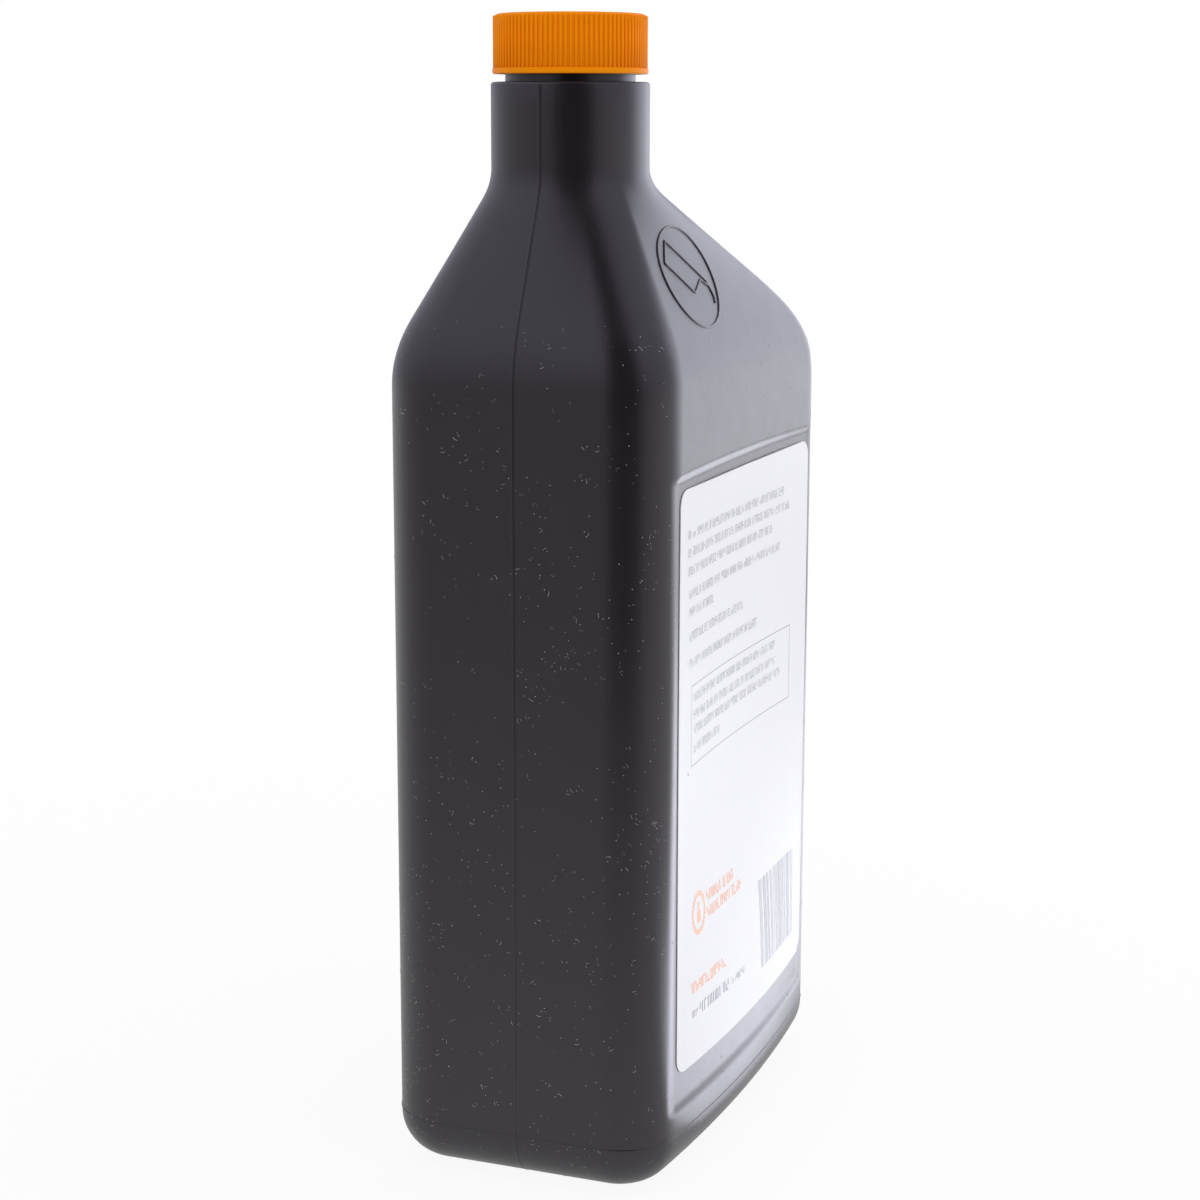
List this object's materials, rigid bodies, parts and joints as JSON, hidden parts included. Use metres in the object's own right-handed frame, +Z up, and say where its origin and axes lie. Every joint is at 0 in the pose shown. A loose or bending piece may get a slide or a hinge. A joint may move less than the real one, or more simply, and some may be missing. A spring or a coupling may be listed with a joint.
{
  "type": "motor oil bottle",
  "caption": "Flat rectangular blow-moulded oil bottle with an off-centre neck, slanting shoulder, ribbed screw cap, hollow wide faces and a back label.",
  "frame": {"origin": "on the standing plane, under the middle of the body", "axes": "+Z up towards the mouth, -Y out of the wide face that carries the label, -X out of the narrow face beside the neck"},
  "size_m": [0.1072, 0.0634, 0.2298],
  "materials": {
    "bottle_plastic": "satin charcoal polyethylene",
    "cap_plastic": "smooth orange polypropylene",
    "liner_foam": "white foamed liner",
    "label_film": "white printed film"
  },
  "bodies": {
    "bottle_body": {"bottle": "bottle_plastic", "back_label": "label_film"},
    "cap_carrier": {"cap_liner": "liner_foam"},
    "cap_body": {"cap": "cap_plastic"}
  },
  "joints": [
    {"name": "cap_lift", "type": "slide", "parent": "bottle_body", "child": "cap_carrier", "axis": [0, 0, 1], "range_m": [0, 0.017]},
    {"name": "cap_turn", "type": "hinge", "parent": "cap_carrier", "child": "cap_body", "pos_m": [-0.0244, 0, 0.2184], "axis": [0, 0, 1], "range_deg": [0, 1440]}
  ],
  "couplings": [
    {"joint": "cap_lift", "follows": "cap_turn", "m_per_rad": 0.00067322}
  ]
}
